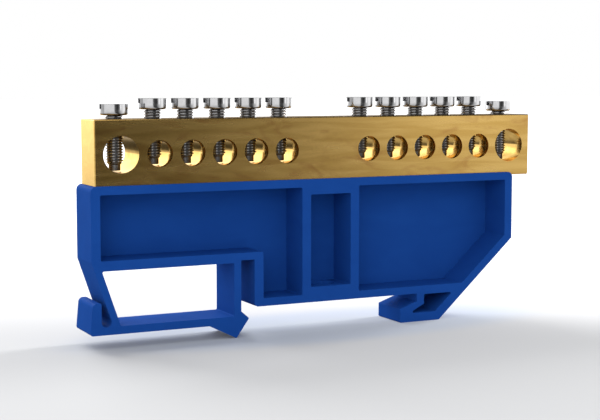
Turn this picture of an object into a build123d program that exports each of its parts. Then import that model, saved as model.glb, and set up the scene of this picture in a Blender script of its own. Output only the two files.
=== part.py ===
from build123d import *
import math
import os

# Twelve-way neutral busbar on a moulded carrier that snaps across a rail.
# The origin is the middle of the rail's top face: +X runs along the bar to
# the right, +Y to the rear and +Z up. Sizes are in millimetres.

# Rail seat, between the spring loop at the left and the hook at the right
rail_width = 35.0
rail_play = 0.6

# Brass bar, with its wire holes in two mirrored groups
small_holes_per_group = 5
small_pitch = 5.9
end_pitch = 6.8
end_margin = 4.6
blank_middle = 16.4
bar_height = 11.5
bar_depth = 7.4
bar_centre_x = -0.54
bar_edge = 0.15
small_wire_bore = 4.5
large_wire_bore = 6.2
wire_row_height = 5.7

# Clamp screws: slotted cheese head, fine thread and a plain dog point
head_diameter = 4.75
head_height = 1.85
head_edge = 0.35
slot_width = 1.0
slot_depth = 0.8
thread_diameter = 3.0
thread_clearance = 0.05
head_clearance = 0.63
dog_diameter = 2.0
dog_length = 1.0
tip_gap = 0.1

# Hidden screw that holds the bar down on the carrier
fixing_x = -0.25
fixing_diameter = 2.8
fixing_clearance = 0.05
fixing_head = 5.0
fixing_rim = 0.2
fixing_sink = 0.1
fixing_depth_in_bar = 4.5
fixing_drill_spare = 0.8
fixing_slot_width = 0.8
fixing_slot_depth = 0.6
access_bore = 5.0

# Carrier: tray of walls with a web at the rear
body_height = 21.5
lip_height = 0.55
lip_wall = 0.3
channel_clearance = 0.05
end_wall = 0.83
bar_overhang = 3.85
deck = 0.9
side_wall = 1.6
rib = 1.7
floor = 1.4
web = 1.5
top_radius = 1.0
inner_radius = 0.25

# Narrow pocket with a thick band above and below it
middle_pocket_width = 8.0
middle_floor = 2.75
middle_band = 2.2

# Ledge over the loop's window
ledge_top = 9.65
ledge = 1.7
slot_roof = 1.3
body_wall = 1.7
wall_round = 0.7

# Spring loop: leaning arm, lower beam, upright and barb
bend_height = 9.45
arm_angle = 18.6
arm_wall = 1.2
beam_top = -1.4
beam = 1.35
upright = 1.3
flex_gap = 2.55
barb_drop = 0.62
barb_reach = 1.48
barb_tip_drop = 1.9
barb_toe_back = 0.95
barb_heel_back = 5.9

# Finger tab outside the leaning arm, with a round-bottomed notch between
tab_inset = 1.6
tab_height = 2.65
tab_width = 1.5
tab_flare = 0.5
tab_round = 0.8
tab_toe_round = 0.5
notch_floor = 1.3

# Foot with the fixed hook, and the outer wall that slopes down to it
slope_top = 9.4
slope_wall = 1.5
foot_depth = 5.25
foot_reach = 4.8
foot_floor = 1.65
hook_reach = 3.6
hook_mouth = 2.65
hook_root = 1.44
hook_wall = 1.53
cell_roof = 0.2
cell_step = 2.0
cell_toe = 1.7
cell_slope_wall = 1.75

# Places that follow from the sizes above
seat_half = (rail_width + rail_play) / 2
group_length = end_margin + end_pitch + (small_holes_per_group - 1) * small_pitch
bar_length = 2 * group_length + blank_middle
bar_left = bar_centre_x - bar_length / 2
bar_right = bar_centre_x + bar_length / 2
bar_top = body_height + bar_height
wire_row_z = body_height + wire_row_height
tapped_bore = thread_diameter + 2 * thread_clearance
carrier_left = bar_left - channel_clearance - end_wall
carrier_right = bar_right - bar_overhang
carrier_depth = bar_depth + 2 * (channel_clearance + lip_wall)
carrier_top = body_height + lip_height
pocket_depth = carrier_depth - web
pocket_top = body_height - deck
window_top = ledge_top - ledge
beam_bottom = beam_top - beam
body_wall_left = -seat_half + flex_gap
middle_left = fixing_x - middle_pocket_width / 2
middle_right = fixing_x + middle_pocket_width / 2
middle_top = body_height - middle_band
foot_right = seat_half + foot_reach
slope_run = carrier_right - foot_right
slope_rise = slope_top + foot_depth
slope_stretch = math.hypot(slope_run, slope_rise) / slope_rise


def hole_places():
    """X of each hole from the left, with the bore of the wire hole there."""
    small = [end_margin + end_pitch + i * small_pitch for i in range(small_holes_per_group)]
    left = [(end_margin, large_wire_bore)] + [(step, small_wire_bore) for step in small]
    places = [(bar_left + step, bore) for step, bore in left]
    return places + [(bar_right - step, bore) for step, bore in reversed(left)]


def screw_tip_z(bore):
    """Height at which the flat dog point just clears the floor of its wire hole."""
    return wire_row_z - math.sqrt((bore / 2) ** 2 - (dog_diameter / 2) ** 2) + tip_gap


def screw_length():
    """Length under the head that keeps the deepest head just clear of the bar."""
    return bar_top + head_clearance - screw_tip_z(large_wire_bore)


def arm_x(z, depth_in_wall=0.0):
    """X on the leaning arm's outer face, or that deep inside its wall, at a height."""
    lean = math.radians(arm_angle)
    return carrier_left + (bend_height - z) * math.tan(lean) + depth_in_wall / math.cos(lean)


def slope_x(z, depth_in_wall=0.0):
    """X on the sloping outer wall, or that deep inside it, at a height."""
    return foot_right + (z + foot_depth) * slope_run / slope_rise - depth_in_wall * slope_stretch


def slope_z(x, depth_in_wall):
    """Height at which the line that deep inside the sloping wall meets an X."""
    return (x - slope_x(0, depth_in_wall)) * slope_rise / slope_run


def draw_corners(corners):
    """Close an outline through corners given as x, z and corner radius."""
    points = [(x, z) for x, z, radius in corners]
    FilletPolyline(*points, radius=[radius for x, z, radius in corners], close=True)


def body_corners():
    """Carrier's top, sloping right side and hooked foot, down to the body's wall."""
    return [
        (carrier_left, carrier_top, top_radius),
        (carrier_right, carrier_top, top_radius),
        (carrier_right, slope_top, inner_radius),
        (foot_right, -foot_depth, inner_radius),
        (seat_half - hook_reach, -foot_depth, inner_radius),
        (seat_half - hook_reach, -hook_mouth, inner_radius),
        (seat_half, -hook_root, 0),
        (seat_half, 0, 0),
        (body_wall_left, 0, wall_round),
        (body_wall_left, ledge_top - slot_roof, 0),
    ]


def loop_corners():
    """Upright, barb, beam, finger tab and notch, back up to the bend."""
    notch_z = beam_bottom + notch_floor
    tab_right = carrier_left + tab_inset
    notch_width = arm_x(notch_z) - tab_right
    half_corner = math.radians(90 - arm_angle) / 2
    notch_round = 0.98 * notch_width / (1 + 1 / math.tan(half_corner))
    return [
        (-seat_half, ledge_top - slot_roof, 0),
        (-seat_half, -barb_drop, 0),
        (-seat_half + barb_reach, -barb_tip_drop, inner_radius),
        (-seat_half - barb_toe_back, -foot_depth, inner_radius),
        (-seat_half - barb_heel_back, beam_bottom, 0),
        (tab_right - tab_width - tab_flare, beam_bottom, tab_toe_round),
        (tab_right - tab_width, tab_height, tab_round),
        (tab_right, tab_height, inner_radius),
        (tab_right, notch_z, notch_round),
        (arm_x(notch_z), notch_z, notch_round),
        (carrier_left, bend_height, inner_radius),
    ]


def window_corners():
    """Window of the spring loop, open from front to rear."""
    upright_left = -seat_half - upright
    return [
        (arm_x(window_top, arm_wall), window_top, inner_radius),
        (upright_left, window_top, inner_radius),
        (upright_left, beam_top, inner_radius),
        (arm_x(beam_top, arm_wall), beam_top, inner_radius),
    ]


def left_pocket_corners():
    """L-shaped pocket over the ledge and down to the rail side."""
    pocket_left = carrier_left + side_wall
    pocket_right = middle_left - rib
    step_x = body_wall_left + body_wall
    return [
        (pocket_left, pocket_top, inner_radius),
        (pocket_right, pocket_top, inner_radius),
        (pocket_right, floor, inner_radius),
        (step_x, floor, inner_radius),
        (step_x, ledge_top, inner_radius),
        (pocket_left, ledge_top, inner_radius),
    ]


def middle_pocket_corners():
    """Narrow pocket that the fixing screw is driven through."""
    return [
        (middle_left, middle_top, inner_radius),
        (middle_right, middle_top, inner_radius),
        (middle_right, middle_floor, inner_radius),
        (middle_left, middle_floor, inner_radius),
    ]


def right_pocket_corners():
    """Large pocket whose lower right side runs along the sloping wall."""
    pocket_left = middle_right + rib
    pocket_right = carrier_right - side_wall
    return [
        (pocket_left, pocket_top, inner_radius),
        (pocket_right, pocket_top, inner_radius),
        (pocket_right, slope_z(pocket_right, slope_wall), inner_radius),
        (slope_x(floor, slope_wall), floor, inner_radius),
        (pocket_left, floor, inner_radius),
    ]


def foot_cell_corners():
    """Small cell that cores out the foot behind the hook."""
    cell_left = seat_half + hook_wall
    cell_floor = -foot_depth + foot_floor
    return [
        (cell_left, -cell_roof, inner_radius),
        (slope_x(-cell_roof, cell_slope_wall), -cell_roof, inner_radius),
        (slope_x(cell_floor, cell_slope_wall), cell_floor, inner_radius),
        (seat_half - cell_toe, cell_floor, inner_radius),
        (cell_left, -cell_step, 0),
    ]


def make_carrier():
    """One moulding: profile right through, pockets from the front, bar channel on top."""
    front = Plane.XZ.offset(carrier_depth / 2)
    ceiling = Plane(origin=(fixing_x, 0, middle_top), x_dir=(1, 0, 0), z_dir=(0, 0, -1))
    channel_left = bar_left - channel_clearance
    channel_right = carrier_right + top_radius
    with BuildPart() as carrier:
        with BuildSketch(Plane.XZ):
            with BuildLine():
                draw_corners(body_corners() + loop_corners())
            make_face()
            with BuildLine():
                draw_corners(window_corners())
            make_face(mode=Mode.SUBTRACT)
        extrude(amount=carrier_depth / 2, both=True)
        with BuildSketch(front):
            for corners in (
                left_pocket_corners(),
                middle_pocket_corners(),
                right_pocket_corners(),
                foot_cell_corners(),
            ):
                with BuildLine():
                    draw_corners(corners)
                make_face()
        extrude(amount=-pocket_depth, mode=Mode.SUBTRACT)
        with BuildSketch(Plane.XY.offset(body_height)):
            with Locations(((channel_left + channel_right) / 2, 0)):
                Rectangle(channel_right - channel_left, bar_depth + 2 * channel_clearance)
        extrude(amount=bar_height, mode=Mode.SUBTRACT)
        with BuildSketch(Plane.XY):
            with Locations((fixing_x, 0)):
                Circle(access_bore / 2)
        extrude(amount=middle_floor, mode=Mode.SUBTRACT)
        with Locations(ceiling.offset(-fixing_sink - fixing_rim)):
            CounterSinkHole(
                radius=fixing_diameter / 2 + fixing_clearance,
                counter_sink_radius=fixing_head / 2 + fixing_clearance,
                depth=middle_band,
                counter_sink_angle=90,
            )
    carrier.part.label = "carrier"
    return carrier.part


def make_busbar():
    """Rectangular bar, cross-drilled for the wires and tapped from the top."""
    middle_x = (bar_left + bar_right) / 2
    with BuildPart() as busbar:
        with BuildSketch(Plane.XY.offset(body_height)):
            with Locations((middle_x, 0)):
                Rectangle(bar_length, bar_depth)
        extrude(amount=bar_height)
        chamfer(busbar.edges(), bar_edge)
        with BuildSketch(Plane.XZ.offset(bar_depth / 2)):
            for x, bore in hole_places():
                with Locations((x, wire_row_z)):
                    Circle(bore / 2)
        extrude(amount=-bar_depth, mode=Mode.SUBTRACT)
        with BuildSketch(Plane.XY.offset(bar_top)):
            with Locations(*[(x, 0) for x, bore in hole_places()]):
                Circle(tapped_bore / 2)
        extrude(amount=wire_row_z - bar_top, mode=Mode.SUBTRACT)
        with BuildSketch(Plane.XY.offset(body_height)):
            with Locations((fixing_x, 0)):
                Circle(fixing_diameter / 2 + fixing_clearance)
        extrude(amount=fixing_depth_in_bar + fixing_drill_spare, mode=Mode.SUBTRACT)
    busbar.part.label = "busbar"
    return busbar.part


def make_clamp_screw(x, bore, label):
    """Turned screw with its dog point at the floor of one wire hole."""
    tip = screw_tip_z(bore)
    shoulder = tip + dog_length
    under_head = tip + screw_length()
    head_top = under_head + head_height
    dog = dog_diameter / 2
    thread = thread_diameter / 2
    head = head_diameter / 2
    with BuildPart() as screw:
        with BuildSketch(Plane(origin=(x, 0, 0), x_dir=(1, 0, 0), z_dir=(0, -1, 0))):
            with BuildLine():
                Polyline(
                    (0, tip),
                    (dog, tip),
                    (dog, shoulder),
                    (thread, shoulder + thread - dog),
                    (thread, under_head),
                    (head - head_edge, under_head),
                    (head, under_head + head_edge),
                    (head, head_top),
                    (0, head_top),
                    close=True,
                )
            make_face()
        revolve(axis=Axis((x, 0, 0), (0, 0, 1)))
        with BuildSketch(Plane.XY.offset(head_top)):
            with Locations((x, 0)):
                Rectangle(head_diameter, slot_width)
        extrude(amount=-slot_depth, mode=Mode.SUBTRACT)
    screw.part.label = label
    return screw.part


def make_fixing_screw():
    """Countersunk screw driven up through the middle band into the bar."""
    face = middle_top + fixing_sink
    head = fixing_head / 2
    shank = fixing_diameter / 2
    neck = face + fixing_rim + head - shank
    end = body_height + fixing_depth_in_bar
    with BuildPart() as screw:
        with BuildSketch(Plane(origin=(fixing_x, 0, 0), x_dir=(1, 0, 0), z_dir=(0, -1, 0))):
            with BuildLine():
                Polyline(
                    (0, face),
                    (head, face),
                    (head, face + fixing_rim),
                    (shank, neck),
                    (shank, end),
                    (0, end),
                    close=True,
                )
            make_face()
        revolve(axis=Axis((fixing_x, 0, 0), (0, 0, 1)))
        with BuildSketch(Plane.XY.offset(face)):
            with Locations((fixing_x, 0)):
                Rectangle(fixing_head, fixing_slot_width)
        extrude(amount=fixing_slot_depth, mode=Mode.SUBTRACT)
    screw.part.label = "fixing_screw"
    return screw.part


def make_parts():
    """Every piece of the busbar, each one solid."""
    parts = [make_carrier(), make_busbar(), make_fixing_screw()]
    for number, (x, bore) in enumerate(hole_places(), start=1):
        parts.append(make_clamp_screw(x, bore, f"clamp_screw_{number:02d}"))
    return parts


os.makedirs("parts", exist_ok=True)
for part in make_parts():
    export_step(part, f"parts/{part.label}.step")
    print(part.label, round(part.volume, 1), "cubic millimetres")
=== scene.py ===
# %% [markdown]
# # A neutral busbar on its rail carrier
# The real thing is a drawn brass bar with twelve cross holes, and a clamp
# screw over each. It sits on a blue moulding that snaps onto a 35 mm rail.
# The solid model already holds the true sizes. This file gives that model its
# finishes, cuts real threads on the screws, and sets up a plain studio.
#
# ## The frame
# The packed model is loaded first, and its box is kept. Everything made later
# has to stay inside that box.

# %% Load the frame
import math

import bpy
import numpy as np
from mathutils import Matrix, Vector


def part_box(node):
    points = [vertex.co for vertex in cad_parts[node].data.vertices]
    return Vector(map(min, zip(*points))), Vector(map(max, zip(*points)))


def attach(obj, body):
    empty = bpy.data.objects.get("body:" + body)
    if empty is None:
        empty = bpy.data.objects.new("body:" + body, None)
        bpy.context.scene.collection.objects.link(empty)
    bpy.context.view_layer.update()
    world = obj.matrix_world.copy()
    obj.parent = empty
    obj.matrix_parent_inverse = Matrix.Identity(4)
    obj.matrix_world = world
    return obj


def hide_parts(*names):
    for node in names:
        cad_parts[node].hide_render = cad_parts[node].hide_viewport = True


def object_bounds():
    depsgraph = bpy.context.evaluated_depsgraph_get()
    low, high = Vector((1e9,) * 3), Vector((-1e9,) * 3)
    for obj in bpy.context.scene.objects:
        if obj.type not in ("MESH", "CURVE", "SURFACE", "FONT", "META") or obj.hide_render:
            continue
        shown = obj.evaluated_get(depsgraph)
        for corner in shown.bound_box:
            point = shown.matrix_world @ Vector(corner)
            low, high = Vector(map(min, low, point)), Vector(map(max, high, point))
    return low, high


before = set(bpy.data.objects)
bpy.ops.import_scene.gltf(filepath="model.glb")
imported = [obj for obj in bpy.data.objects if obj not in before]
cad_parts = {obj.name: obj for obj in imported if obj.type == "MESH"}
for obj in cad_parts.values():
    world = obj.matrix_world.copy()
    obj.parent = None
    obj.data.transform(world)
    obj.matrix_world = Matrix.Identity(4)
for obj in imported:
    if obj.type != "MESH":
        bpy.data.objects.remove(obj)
cad_box = [list(corner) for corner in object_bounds()]
mm = 0.001

# %% [markdown]
# ## The camera
# The picture was taken from the left, a hand above the bar. The place, the two
# angles and the lens come from the corners of the bar and the rims of its
# twelve holes, so the holes fall where the picture has them. The camera has no
# shift and no roll.

# %% Camera
def add_object(name, data):
    """An object that holds this data, linked into the scene."""
    made = bpy.data.objects.new(name, data)
    bpy.context.scene.collection.objects.link(made)
    return made


degrees_down, degrees_right = 5.564, 26.136
camera_data = bpy.data.cameras.new("camera")
camera_data.sensor_width = 36
camera_data.lens = 78.765
camera_data.clip_start = 0.01
camera_data.clip_end = 20
camera = add_object("camera", camera_data)
camera.location = (-0.10810, -0.21123, 0.03913)
camera.rotation_euler = (math.radians(90 - degrees_down), 0, math.radians(-degrees_right))
bpy.context.scene.camera = camera
bpy.context.scene.view_settings.view_transform = "Standard"
print("camera at", tuple(camera.location))

# %% [markdown]
# ## Shader sums as plain Python
# A finish is mostly arithmetic on patterns: this noise times that mask, plus a
# little of another. Nodes wired by hand hide such a sum, so one small class
# wraps an output socket. Its operators add the Math nodes, and `node` adds
# any other kind.

# %% A socket that can be reckoned with
class Pattern:
    """An output socket. +, - and * on it add Math nodes, from either side."""

    def __init__(self, tree, socket=None):
        self.tree, self.socket = tree, socket

    def node(self, kind, settings=None, values=None, output=0):
        """Adds a node: its settings first, then a number or a link for each socket."""
        made = self.tree.nodes.new(kind)
        for name, setting in (settings or {}).items():
            setattr(made, name, setting)
        for name, value in (values or {}).items():
            if isinstance(value, Pattern):
                self.tree.links.new(value.socket, made.inputs[name])
            else:
                made.inputs[name].default_value = value
        return Pattern(self.tree, made.outputs[output]) if len(made.outputs) else made

    def maths(self, operation, *values):
        """A Math node that works on the values in their order."""
        return self.node("ShaderNodeMath", {"operation": operation}, dict(enumerate(values)))

    def __add__(self, other):
        return self.maths("ADD", self, other)

    def __radd__(self, other):
        return self.maths("ADD", other, self)

    def __sub__(self, other):
        return self.maths("SUBTRACT", self, other)

    def __rsub__(self, other):
        return self.maths("SUBTRACT", other, self)

    def __mul__(self, other):
        return self.maths("MULTIPLY", self, other)

    def __rmul__(self, other):
        return self.maths("MULTIPLY", other, self)

    def ramp(self, low, high):
        """Goes smoothly from 0 to 1 as the pattern goes from low to high."""
        values = {"Value": self, "From Min": low, "From Max": high}
        return self.node("ShaderNodeMapRange", {"interpolation_type": "SMOOTHSTEP"}, values)

    def mix(self, first, second):
        """The colour first where the pattern is 0 and second where it is 1.

        A Mix node has sockets of the same names for each type, so they go by number.
        """
        values = {0: self, 6: first, 7: second}
        return self.node("ShaderNodeMix", {"data_type": "RGBA"}, values, output=2)


print("a pattern knows:", [name for name in vars(Pattern) if not name.startswith("_")])

# %% [markdown]
# ## The blue moulding
# The carrier is one shot of dyed plastic in a polished tool with a fine grain.
# Its front is even and deep blue, with no gloss spots. Up close such plastic
# isn't one colour: the dye drifts a little where the melt flowed, and the
# grain breaks up every highlight. So a wide, faint noise drives the colour, and
# two fine ones drive the roughness and a shallow bump. Every finish starts from
# the same few helpers: an empty tree, a noise with patches of a given size, a
# bump and the closing shader.

# %% Helpers of every finish
per_metre = 1000


def new_finish(name):
    """A material with an empty tree, and the pattern that its nodes are made from."""
    material = bpy.data.materials.new(name)
    material.use_nodes = True
    material.node_tree.nodes.clear()
    return material, Pattern(material.node_tree)


def noise(at, sizes, detail=2.0, roughness=0.5, distortion=0.0):
    """Cloud noise from 0 to 1, in patches of sizes[0] by sizes[1] by sizes[2] millimetres."""
    scale = tuple(per_metre / size for size in sizes)
    squeezed = at.node("ShaderNodeMapping", None, {"Vector": at, "Scale": scale})
    shape = {"Scale": 1.0, "Detail": detail, "Roughness": roughness, "Distortion": distortion}
    return at.node("ShaderNodeTexNoise", None, {"Vector": squeezed, **shape})


def bumped(height, strength, full_height, **under):
    """A normal that leans as a relief of full_height metres times height does.

    Another bump that is passed as Normal lies under this one.
    """
    values = {"Height": height, "Strength": strength, "Distance": full_height, **under}
    return height.node("ShaderNodeBump", None, values)


def finished(colour, dull, normal, constants):
    """Ends a tree: one Principled shader, with the constants set on its own sockets."""
    values = {"Base Color": colour, "Roughness": dull, "Normal": normal, **constants}
    shader = colour.node("ShaderNodeBsdfPrincipled", None, values)
    colour.node("ShaderNodeOutputMaterial", None, {"Surface": shader})


print("helpers:", [helper.__name__ for helper in (new_finish, noise, bumped, finished)])


# %% Blue plastic
def make_blue_plastic():
    """Colour by the flow of the melt, dullness and relief by scuffs and a fine grain."""
    material, start = new_finish("blue_moulding")
    at = start.node("ShaderNodeTexCoord", output="Object")
    flow = noise(at, (9, 9, 5), detail=3, distortion=0.6)
    grain = noise(at, (0.16, 0.16, 0.16))
    scuffs = noise(at, (2.6, 2.6, 0.35), detail=4, roughness=0.7)
    colour = flow.ramp(0.3, 0.7).mix((0.0096, 0.061, 0.290, 1), (0.0108, 0.067, 0.312, 1))
    dull = 0.56 + 0.06 * (flow - 0.5) + 0.10 * scuffs.ramp(0.45, 0.75) + 0.05 * grain
    relief = bumped(grain + 0.35 * scuffs, strength=0.22, full_height=0.03 * mm)
    finished(colour, dull, relief, {"IOR": 1.49, "Specular IOR Level": 0.005})
    return material


blue_plastic = make_blue_plastic()
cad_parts["carrier"].material_slots[0].material = blue_plastic
print("blue plastic on the carrier, nodes:", len(blue_plastic.node_tree.nodes))

# %% [markdown]
# ## The brass bar
# The bar is drawn brass, cut to length and drilled. Drawing leaves long, faint
# streaks along it. Handling and heat leave browner patches, with faint rings in
# the middle of the bar, and the sawn ends are cleaner. The drilled holes are
# close to a mirror inside. The bar is a plain box, so how deep a point lies
# below the nearer of two faces tells a broad face, an end, the top and the wall
# of a hole apart, and no face has to be painted by itself. The rims of the ten
# small holes are worn a little round, by less than the outline shows. A second
# bump leans the shading there outwards, and the solid keeps its sharp rim.

# %% Masks from place
def larger(first, second):
    """The larger of a pattern and another one."""
    return first.maths("MAXIMUM", first, second)


def split(vector):
    """The x, y and z of a vector as three patterns."""
    first = vector.node("ShaderNodeSeparateXYZ", None, {"Vector": vector})
    return [Pattern(vector.tree, socket) for socket in first.socket.node.outputs]


def depth_below(place, low, high):
    """Millimetres inwards from the nearer of two faces, one at low and one at high."""
    off_centre = place - (low + high) / 2
    return per_metre * ((high - low) / 2 - off_centre.maths("ABSOLUTE", off_centre))


bar_low, bar_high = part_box("busbar")
print("the bar's size in mm:", [round(side / mm, 2) for side in bar_high - bar_low])

# %% Brass
def make_brass():
    """Bare metal, coloured and dulled by depths below the bar's faces, in millimetres.

    The mask of a face is 1 on it and 0 from 0.05 mm below it. The rings are the sine of a
    noise times ripples. flare is a height that rises with the depth below the broad faces,
    fastest at the face itself, in the part of the bar that has the small holes.
    """
    material, start = new_finish("drawn_brass")
    at = start.node("ShaderNodeTexCoord", output="Object")
    x, y, z = split(at)
    under_face = depth_below(y, bar_low.y, bar_high.y)
    under_end = depth_below(x, bar_low.x, bar_high.x)
    under_top = depth_below(z, bar_low.z, bar_high.z)
    broad, sawn, upper = (depth.ramp(0.05, 0.01) for depth in (under_face, under_end, under_top))
    streaks = noise(at, (16, 3, 1.5), roughness=0.4, distortion=0.8)
    patches = noise(at, (9, 5, 3.4), distortion=1.2)
    swirls = noise(at, (6, 5, 3.6), detail=1, distortion=1.6)
    lines = noise(at, (6, 0.09, 0.09))
    ripples = 80
    rings = 0.5 + 0.5 * swirls.maths("SINE", ripples * swirls)
    clean = larger(streaks.ramp(0.30, 0.70), 0.6 * sawn)
    bright = clean.mix((0.70, 0.434, 0.118, 1), (0.86, 0.562, 0.178, 1))
    middle = under_end.ramp(30, 40)
    stain = 0.75 * patches.ramp(0.50, 0.78) + 0.12 * middle * rings
    aged = (stain * broad).mix(bright, (0.50, 0.235, 0.070, 1))
    # The top face is painted dark brown: painted shade that stands for the dark the top mirrors at a
    # grazing angle.
    colour = (0.85 * upper).mix(aged, (0.30, 0.175, 0.06, 1))
    drawn = broad * (0.08 + 0.08 * (streaks - 0.5) + 0.06 * patches)
    dull = 0.15 + drawn + 0.04 * sawn + 0.03 * upper
    scratches = larger(broad, upper) * (0.16 * lines + 0.5 * streaks) + 0.05 * sawn * lines
    relief = bumped(scratches, strength=0.18, full_height=0.02 * mm)
    small_holes = under_end.ramp(7.9, 8.7) * under_top.ramp(0.3, 0.6)
    flare = 0.58 * small_holes * (under_face.ramp(-1.2, 1.2) - 0.5)
    worn = bumped(flare, strength=1.0, full_height=1 * mm, Normal=relief)
    finished(colour, dull, worn, {"Metallic": 1.0, "Specular Tint": (1.0, 0.90, 0.70, 1)})
    return material


brass = make_brass()
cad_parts["busbar"].material_slots[0].material = brass
print("brass on the bar, nodes:", len(brass.node_tree.nodes))

# %% [markdown]
# ## The plated steel of the screws
# Small screws are turned or rolled and then zinc plated, which leaves them
# bright but not like a mirror. The roots of the thread, the tip and the floor
# of the slot are painted darker: partly the soil they hold, partly painted shade
# for the dark that falls and is mirrored in them. A pattern on place alone can't
# follow a helix, so the screw's mesh carries two numbers at each point: how much
# soil and painted shade sits there, and how far along the profile the point is,
# which gives the fine rings that a lathe leaves. The fixing screw keeps its plain
# solid, without such numbers, and takes its rings from a noise.

# %% Plated steel
def mesh_number(start, label):
    """The number that a mesh carries at each point under this label, or 0."""
    return start.node("ShaderNodeAttribute", {"attribute_name": label}, output="Fac")


def make_plated_steel(name, has_rings):
    """Bare metal that gets darker and duller with the soil and painted shade on it.

    The rings are a noise along a line, with rings_per_metre patches to the metre.
    """
    material, start = new_finish(name)
    at = start.node("ShaderNodeTexCoord", output="Object")
    haze = noise(at, (0.9, 0.9, 0.9), detail=3)
    specks = noise(at, (0.12, 0.12, 0.12), detail=1)
    along = mesh_number(start, "run") if has_rings else haze
    rings_per_metre = 9000.0
    rings = {"W": along, "Scale": rings_per_metre, "Detail": 2.0}
    turning = start.node("ShaderNodeTexNoise", {"noise_dimensions": "1D"}, rings)
    clean = haze.ramp(0.3, 0.7).mix((0.76, 0.76, 0.77, 1), (0.84, 0.84, 0.85, 1))
    # Soil and painted shade: the thread's roots, the tip and the slot's floor are painted darker.
    grime_and_shade = mesh_number(start, "root").ramp(0.08, 0.75)
    colour = (0.70 * grime_and_shade).mix(clean, (0.13, 0.124, 0.12, 1))
    dull = 0.10 + 0.05 * haze.ramp(0.4, 0.8) + 0.02 * turning + 0.28 * grime_and_shade
    relief = bumped(0.5 * turning + 0.3 * specks, strength=0.12, full_height=0.01 * mm)
    finished(colour, dull, relief, {"Metallic": 1.0})
    return material


plated_steel = make_plated_steel("plated_steel", has_rings=True)
fixing_steel = make_plated_steel("fixing_steel", has_rings=False)
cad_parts["fixing_screw"].material_slots[0].material = fixing_steel
clamp_names = [name for name in sorted(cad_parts) if name.startswith("clamp_screw")]
print("plated steel for", len(clamp_names), "clamp screws and the fixing screw")

# %% [markdown]
# ## A clamp screw
# A cheese-head screw is a turned blank with a rolled thread, a sawn slot and a
# plain dog point that presses on the wire. All of it but the slot is one
# profile turned round an axis, so it is one grid: the columns are angles and
# the rows run up the profile. Along the thread the rows climb by one pitch in a
# turn, which makes a true helix whose crests never look stepped. The top of
# the head is a second grid of straight chords across it, and two pairs of
# chords at the same place make the walls of the slot.

# %% Welding a grid
def welded(points, faces, values):
    """Joins points that fall in the same cube of weld_size, and mends the faces.

    A face whose neighbouring corners became one point turns into a triangle, and one
    that has no area left goes. values holds one row of numbers for each point.
    """
    weld_size = 0.0005 * mm
    places = np.round(points / weld_size).astype(np.int64)
    _, first, home = np.unique(places, axis=0, return_index=True, return_inverse=True)
    corners = home.reshape(-1)[faces]
    same = corners == np.roll(corners, -1, axis=1)
    crossed = (corners[:, 0] == corners[:, 2]) | (corners[:, 1] == corners[:, 3])
    whole = corners[(same.sum(1) == 0) & ~crossed]
    folds = (same.sum(1) == 1) & ~crossed
    folded = [np.delete(corners[folds & same[:, side]], side, axis=1) for side in range(4)]
    return points[first], whole.tolist() + np.vstack(folded).tolist(), values[first]


def grid_faces(rows, columns, offset=0):
    """The quads of a grid of rows by columns points that are numbered row by row."""
    row, column = np.meshgrid(np.arange(rows - 1), np.arange(columns - 1), indexing="ij")
    corner = (offset + row * columns + column).ravel()
    return np.stack([corner, corner + 1, corner + columns + 1, corner + columns], axis=1)


print("a grid of 3 by 3 points has", len(grid_faces(3, 3)), "faces")

# %% The screw's sizes
head_height = 1.85 * mm
head_edge = 0.35 * mm
slot_half = 0.5 * mm
slot_depth = 0.8 * mm
crest_radius = 1.5 * mm
root_radius = 1.22 * mm
pitch = 0.465 * mm
dog_radius = 1.0 * mm
dog_length = 1.0 * mm
dog_edge = 0.06 * mm
flank_ends = (0.06, 0.44, 0.56, 0.94)
neck_slope = 5
# The tip and the slot's floor are painted darker, by soil and painted shade.
tip_dirt_and_shade = 0.75
slot_dirt_and_shade = 0.45
print("thread depth in mm:", round((crest_radius - root_radius) / mm, 2))


# %% The thread
def thread_rows(angles, bottom, under_head):
    """The radius and the height of each point of the thread.

    A row of phase p stands at z = bottom + pitch (p + a / 2 pi) in the column of angle a,
    cut off at both ends of the thread. Its radius is the root's plus a trapezoid of p times
    the thread's depth. The trapezoid rises and falls between the flank ends. The radius is
    cut back to a 45 degree cone at the point, and to one of neck_slope under the head.
    """
    turns = math.ceil((under_head - bottom) / pitch) + 1
    phases = (0.0, *flank_ends)
    phase = (np.arange(-1, turns)[:, None] + np.array(phases)[None, :]).ravel()
    climb = bottom + pitch * (phase[:, None] + angles[None, :] / (2 * math.pi))
    height = np.clip(climb, bottom, under_head)
    crest = np.tile(np.interp(phases, flank_ends, (0, 1, 1, 0)), turns + 1)[:, None]
    from_ends = np.minimum(height - bottom, neck_slope * (under_head - height))
    full = root_radius + crest * (crest_radius - root_radius)
    return np.minimum(full, dog_radius + from_ends), height


sample_thread = thread_rows(np.zeros(1), bottom=0, under_head=5 * mm)
print("5 mm of thread:", len(sample_thread[0]), "rows")


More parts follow.
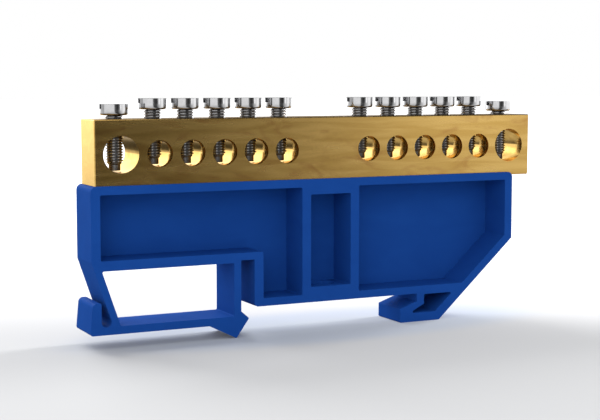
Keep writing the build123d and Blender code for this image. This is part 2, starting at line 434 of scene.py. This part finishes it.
# %% The turned profile
def turned_screw(tip, under_head, top, head_radius, steps=18, bends=5, mouths=5):
    """Points, faces and values of a slotted screw on the Z axis.

    Column j stands at the angle a(j). A row is radius r at height z, so its points are
    (r cos a, r sin a, z). The last row runs round the top, and in the slot's mouth round
    its floor. A point's values are its soil and painted shade, which is its depth in the
    thread as a share of the thread's depth, and its way along the profile. The tip has
    soil and painted shade of its own and the head has none.
    """
    slot_angle = math.asin(slot_half / head_radius)
    side = np.linspace(slot_angle, math.pi - slot_angle, 2 * steps + 1)
    mouth = np.linspace(-slot_angle, slot_angle, mouths)
    last = [2 * math.pi - slot_angle]
    angles = np.concatenate([mouth, side, mouth + math.pi, side + math.pi, last])
    in_mouth = [np.ones_like(mouth), np.zeros_like(side)]
    in_slot = np.concatenate(in_mouth + in_mouth + [np.ones_like(last)])
    bottom = tip + dog_length
    floor = top - slot_depth
    thread_radius, thread_height = thread_rows(angles, bottom, under_head)
    low = [(0, tip), (dog_radius - dog_edge, tip), (dog_radius, tip + dog_edge), (dog_radius, bottom)]
    bend = np.linspace(0, math.pi / 2, bends)
    bend_radius = head_radius - head_edge * (1 - np.sin(bend))
    bend_height = under_head + head_edge * (1 - np.cos(bend))
    rounded = list(zip(bend_radius, bend_height))
    high = [(dog_radius, under_head)] + rounded + [(head_radius, floor), (head_radius, top)]
    plain = np.array(low + high)[:, :, None] * np.ones(len(angles))
    radius = np.vstack([plain[: len(low), 0], thread_radius, plain[len(low):, 0]])
    height = np.vstack([plain[: len(low), 1], thread_height, plain[len(low):, 1]])
    height[-1] = np.where(in_slot, floor, top)
    ring = np.stack([radius * np.cos(angles), radius * np.sin(angles), height], axis=-1)
    # The thread's roots are painted darker by their depth: soil and painted shade.
    dirt_and_shade = np.clip((crest_radius - radius) / (crest_radius - root_radius), 0, 1)
    dirt_and_shade[: len(low)] = tip_dirt_and_shade
    dirt_and_shade[-len(high):] = 0.0
    between = np.hypot(np.diff(radius, axis=0), np.diff(height, axis=0))
    run = np.vstack([np.zeros(len(angles)), np.cumsum(between, axis=0)])
    values = np.stack([dirt_and_shade, run], axis=-1).reshape(-1, 2)
    cap, cap_values = slotted_top(head_radius, floor, top, slot_angle, steps, mouths, run[-1, 0])
    cap_faces = grid_faces(len(cap) // 2, 2, offset=radius.size)[:, ::-1]
    faces = np.vstack([grid_faces(len(radius), len(angles)), cap_faces])
    points = np.vstack([ring.reshape(-1, 3), cap])
    return welded(points, faces, np.vstack([values, cap_values]))


# %% The slotted top
def slotted_top(radius, floor, top, slot_angle, steps, mouths, run):
    """Chords across the head: each goes from (-r cos a, r sin a) to (r cos a, r sin a).

    Inside the slot they lie on its floor and outside it on the top. The two chords at each
    edge of the slot have the same angle and both heights, so they span its wall.
    """
    outer = np.linspace(slot_angle, math.pi / 2, steps + 1)
    inner = np.linspace(-slot_angle, slot_angle, mouths)
    angle = np.concatenate([-outer[::-1], inner, outer])
    flat = np.full_like(outer, top)
    height = np.concatenate([flat, np.full_like(inner, floor), flat])
    right = np.stack([radius * np.cos(angle), radius * np.sin(angle), height], axis=-1)
    left = right * (-1, 1, 1)
    chords = np.stack([left, right], axis=1).reshape(-1, 3)
    # The slot's floor is painted darker: soil and painted shade.
    dirt_and_shade = np.repeat(np.where(height < top, slot_dirt_and_shade, 0.0), 2)
    return chords, np.stack([dirt_and_shade, run + np.abs(chords[:, 1])], axis=-1)


sample_screw = turned_screw(0, 8 * mm, 10 * mm, 2.4 * mm)
print("one screw:", len(sample_screw[0]), "points", len(sample_screw[1]), "faces")


# %% Put the screws in their places
def carry(mesh, label, numbers):
    """Stores one number for each point of the mesh."""
    stored = mesh.attributes.new(label, "FLOAT", "POINT")
    stored.data.foreach_set("value", numbers.astype(np.float32))


def place_screw(name, sharp_from=40):
    """The screw that stands for one clamp screw, inside that solid's own box."""
    low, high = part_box(name)
    centre = (low + high) / 2
    head_radius = (high.x - low.x) / 2
    points, faces, values = turned_screw(low.z, high.z - head_height, high.z, head_radius)
    points = points + np.array([centre.x, centre.y, 0])
    mesh = bpy.data.meshes.new(name + "_cut")
    mesh.from_pydata(points.tolist(), [], faces)
    carry(mesh, "root", values[:, 0])
    carry(mesh, "run", values[:, 1])
    mesh.shade_smooth()
    mesh.set_sharp_from_angle(angle=math.radians(sharp_from))
    mesh.materials.append(plated_steel)
    piece = add_object(name + "_cut", mesh)
    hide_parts(name)
    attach(piece, name)
    return piece


screws = [place_screw(name) for name in clamp_names]
print(len(screws), "screws,", len(screws[0].data.polygons), "faces each")

# %% [markdown]
# ## The studio
# The floor is a pale sheet. The object's shadow falls on it, soft and wide, to
# the front. Close to the object the sheet is painted darker and a little blue:
# a painted shadow, with painted blue light that the moulding would throw on it.
# Light that only the camera sees lifts the sheet to white behind the object and
# far off on all sides, so that it has no far edge.

# %% Floor
def length(vector):
    """How long a vector is."""
    return vector.node("ShaderNodeVectorMath", {"operation": "LENGTH"}, {0: vector}, output="Value")


def make_floor(level, half_side=3.0):
    """A square sheet at this height.

    Inside an ellipse whose half axes are given in metres it is painted darker and bluer:
    a painted shadow with painted blue bounce light. Its glow grows
    with the way behind the object, along the camera's direction, and with the distance.
    """
    corners = [(-1, -1), (1, -1), (1, 1), (-1, 1)]
    mesh = bpy.data.meshes.new("floor")
    mesh.from_pydata([(half_side * x, half_side * y, level) for x, y in corners], [], [(0, 1, 2, 3)])
    floor = add_object("floor", mesh)
    material, start = new_finish("pale_floor")
    at = start.node("ShaderNodeTexCoord", output="Object")
    painted_shade_reach = (0.055, 0.018)
    squeezed = {"Vector": at, "Scale": (1 / painted_shade_reach[0], 1 / painted_shade_reach[1], 0)}
    away = length(at.node("ShaderNodeMapping", None, squeezed))
    # Painted shadow and painted blue bounce light: inside the ellipse the sheet is darker and bluer.
    sheet_with_painted_shade = away.ramp(1.0, 0.6).mix((0.505, 0.505, 0.506, 1), (0.430, 0.463, 0.515, 1))
    paper = start.node("ShaderNodeBsdfDiffuse", None, {"Color": sheet_with_painted_shade})
    camera_direction = (0.44, 0.90, 0.0)
    along = {0: at, 1: camera_direction}
    behind = at.node("ShaderNodeVectorMath", {"operation": "DOT_PRODUCT"}, along, output="Value")
    far = larger(behind.ramp(0.05, 0.6), length(at).ramp(0.12, 0.5))
    seen = start.node("ShaderNodeLightPath", output="Is Camera Ray")
    glow = seen * (0.05 + 0.30 * behind.ramp(-0.015, 0.045) + 0.6 * far)
    lift = start.node("ShaderNodeEmission", None, {"Color": (1, 1, 1, 1), "Strength": glow})
    sheet = start.node("ShaderNodeAddShader", None, {0: paper, 1: lift})
    start.node("ShaderNodeOutputMaterial", None, {"Surface": sheet})
    mesh.materials.append(material)
    return floor


floor = make_floor(cad_box[0][2])
print("floor at", floor.data.vertices[0].co.z)

# %% [markdown]
# ## World and lamps
# The camera and every reflection see a white room. Matt surfaces get less, so
# that the lamps can shape them. One lamp is behind the object, a little to the
# left and high up. A small one at the right draws the thin shadow to the left,
# and a wide, weak one fills from the front left.

# %% World
def make_world(ambient):
    """White, at strength 1 for rays that see it, and at ambient and cooler for matt surfaces."""
    world = bpy.data.worlds.new("white_room")
    world.use_nodes = True
    world.node_tree.nodes.clear()
    bpy.context.scene.world = world
    start = Pattern(world.node_tree)
    camera_ray = start.node("ShaderNodeLightPath", output="Is Camera Ray")
    glossy_ray = start.node("ShaderNodeLightPath", output="Is Glossy Ray")
    through_ray = start.node("ShaderNodeLightPath", output="Is Transmission Ray")
    seen = larger(camera_ray, larger(glossy_ray, through_ray))
    level = ambient + (1 - ambient) * seen
    colour = seen.mix((0.975, 0.99, 1.02, 1), (1, 1, 1, 1))
    light = start.node("ShaderNodeBackground", None, {"Color": colour, "Strength": level})
    start.node("ShaderNodeOutputWorld", None, {"Surface": light})
    return world


world = make_world(ambient=0.83)
print("world:", world.name)


# %% Lamps
def make_lamp(name, azimuth, height, distance, size, power, aim=0.015):
    """A square lamp, azimuth degrees from the front towards the right.

    It stands at (d sin a, -d cos a, height) and points at the height aim on the Z axis.
    """
    data = bpy.data.lights.new(name, "AREA")
    data.shape, data.size, data.energy = "SQUARE", size, power
    lamp = add_object(name, data)
    turn = math.radians(azimuth)
    lamp.location = (math.sin(turn) * distance, -math.cos(turn) * distance, height)
    lamp.rotation_euler = (math.atan2(distance, height - aim), 0, turn)
    return lamp


make_lamp("back_left", azimuth=-168, height=0.34, distance=0.52, size=0.42, power=4.1)
make_lamp("back_right", azimuth=99, height=0.25, distance=0.60, size=0.16, power=3.6)
make_lamp("front", azimuth=-30, height=0.24, distance=0.70, size=0.50, power=1.25)

# %% [markdown]
# ## A tent for the metal to reflect
# Bright metal looks like what stands round it, so a studio puts pale and dark
# cards there on purpose. Here they are one bowl round the object that only
# reflections see: a ring that lies on the floor and an upright wall. Its
# brightness is a table: the rows are angles round the object, the columns the
# floor, the horizon, the wall and the top. The dark stretch to the front right
# gives the bar's left half its brown and the screw heads their dark band. The
# dark stretch of floor behind gives the holes their dark upper walls. Metal
# that is mirrored in metal sees the bowl dimmed, so the holes don't glow.

# %% Tent
eye_level = 0.027
heights = (-16.0, -12.0, -9.0, -5.0, 1.0, 8.0, 16.0, 27.0, 38.0)
tent_table = np.array([
    # azimuth, the floor in four steps outwards, the horizon, the wall in three steps up, the top
    (-180, 0.52, 0.42, 0.62, 1.20, 1.80, 2.00, 2.30, 2.10, 0.50),
    (-170, 0.42, 0.38, 0.55, 1.25, 2.00, 2.20, 2.40, 2.10, 0.50),
    (-163, 0.22, 0.32, 0.42, 1.25, 2.00, 2.30, 2.40, 2.10, 0.50),
    (-158, 0.07, 0.09, 0.18, 1.30, 2.30, 2.40, 2.40, 2.10, 0.50),
    (-152, 0.04, 0.04, 0.08, 0.92, 1.40, 1.50, 2.10, 2.10, 0.50),
    (-149, 0.06, 0.08, 0.25, 0.66, 0.92, 1.00, 1.80, 1.60, 0.40),
    (-138, 0.45, 0.45, 0.45, 0.60, 0.55, 0.55, 0.50, 0.40, 0.40),
    (-104, 0.35, 0.35, 0.35, 0.45, 0.35, 0.30, 0.30, 0.30, 0.40),
    (-97, 0.50, 0.50, 0.50, 0.78, 0.78, 0.78, 0.78, 0.80, 0.80),
    (-22, 0.50, 0.50, 0.50, 0.82, 0.82, 0.82, 0.82, 0.80, 0.60),
    (-13, 0.04, 0.04, 0.04, 0.09, 0.07, 0.05, 0.05, 0.20, 0.20),
    (12, 0.04, 0.04, 0.04, 0.07, 0.01, 0.01, 0.02, 0.10, 0.10),
    (18, 0.16, 0.16, 0.18, 0.24, 0.06, 0.03, 0.05, 0.10, 0.10),
    (27, 0.34, 0.34, 0.34, 0.37, 0.28, 0.26, 0.26, 0.20, 0.10),
    (36, 0.56, 0.56, 0.56, 0.54, 1.60, 1.50, 1.05, 0.40, 0.10),
    (44, 0.56, 0.56, 0.56, 0.60, 0.72, 0.85, 1.05, 0.40, 0.10),
    (60, 0.80, 0.80, 0.80, 1.00, 1.05, 1.05, 1.05, 0.40, 0.10),
    (120, 0.45, 0.40, 0.30, 1.00, 1.05, 1.05, 1.05, 0.40, 0.10),
    (136, 0.55, 0.40, 0.20, 0.90, 1.20, 1.20, 1.60, 0.80, 0.20),
    (142, 0.60, 0.45, 0.25, 0.60, 0.10, 0.20, 1.80, 1.20, 0.20),
    (166, 0.60, 0.50, 0.45, 0.60, 0.10, 0.20, 2.10, 2.10, 0.40),
    (172, 0.55, 0.45, 0.62, 1.20, 1.20, 1.40, 2.30, 2.10, 0.50),
    (180, 0.52, 0.42, 0.62, 1.20, 1.80, 2.00, 2.30, 2.10, 0.50),
])
print("the table has", len(tent_table), "rows of", len(heights), "heights")


# %% The tent's card
def make_tent_card(later_share=0.60):
    """Light of the mesh's own tone, cut to later_share for the second bounce and later."""
    material, start = new_finish("tent_card")
    bounces = start.node("ShaderNodeLightPath", output="Ray Depth")
    dimmed = 1 - (1 - later_share) * bounces.ramp(1.2, 1.8)
    strength = mesh_number(start, "tone") * dimmed
    card = start.node("ShaderNodeEmission", None, {"Color": (1, 1, 1, 1), "Strength": strength})
    start.node("ShaderNodeOutputMaterial", None, {"Surface": card})
    return material


tent_card = make_tent_card()
print("the tent's card, nodes:", len(tent_card.node_tree.nodes))


# %% The tent's shape
def reflection_tent(level, inner, outer, top, columns=361, floor_rows=24, wall_rows=120):
    """A point at azimuth a, distance r and height z is (r sin a, -r cos a, z).

    The profile (r, z) runs along the floor from inner to outer and then up to top. The
    brightness runs straight between the rows of the table and between its columns, which
    stand at the heights above, in degrees over eye_level as seen from the Z axis.
    """
    reach = np.concatenate([np.linspace(inner, outer, floor_rows), np.full(wall_rows, outer)])
    wall = np.linspace(level, top, wall_rows + 1)[1:]
    rise = np.concatenate([np.full(floor_rows, level), wall])
    azimuth = np.linspace(-180, 180, columns)
    turn = np.radians(azimuth)[:, None]
    points = np.stack([reach * np.sin(turn), -reach * np.cos(turn), rise + 0 * turn], axis=-1)
    steepness = np.degrees(np.arctan2(rise - eye_level, reach))
    around = [np.interp(azimuth, tent_table[:, 0], column) for column in tent_table[:, 1:].T]
    shares = [np.interp(steepness, heights, unit) for unit in np.eye(len(heights))]
    tone = np.tensordot(around, shares, axes=(0, 0)).ravel()
    mesh = bpy.data.meshes.new("tent")
    faces = grid_faces(columns, floor_rows + wall_rows)
    mesh.from_pydata(points.reshape(-1, 3).tolist(), [], faces.tolist())
    carry(mesh, "tone", tone)
    mesh.materials.append(tent_card)
    tent = add_object("tent", mesh)
    tent.visible_camera = tent.visible_diffuse = False
    tent.visible_shadow = tent.visible_transmission = False
    return tent


tent = reflection_tent(cad_box[0][2] + 0.1 * mm, inner=0.03, outer=0.40, top=1.30)
print("tent faces:", len(tent.data.polygons))

# %% [markdown]
# The dressed model must fill the same box as the solids.
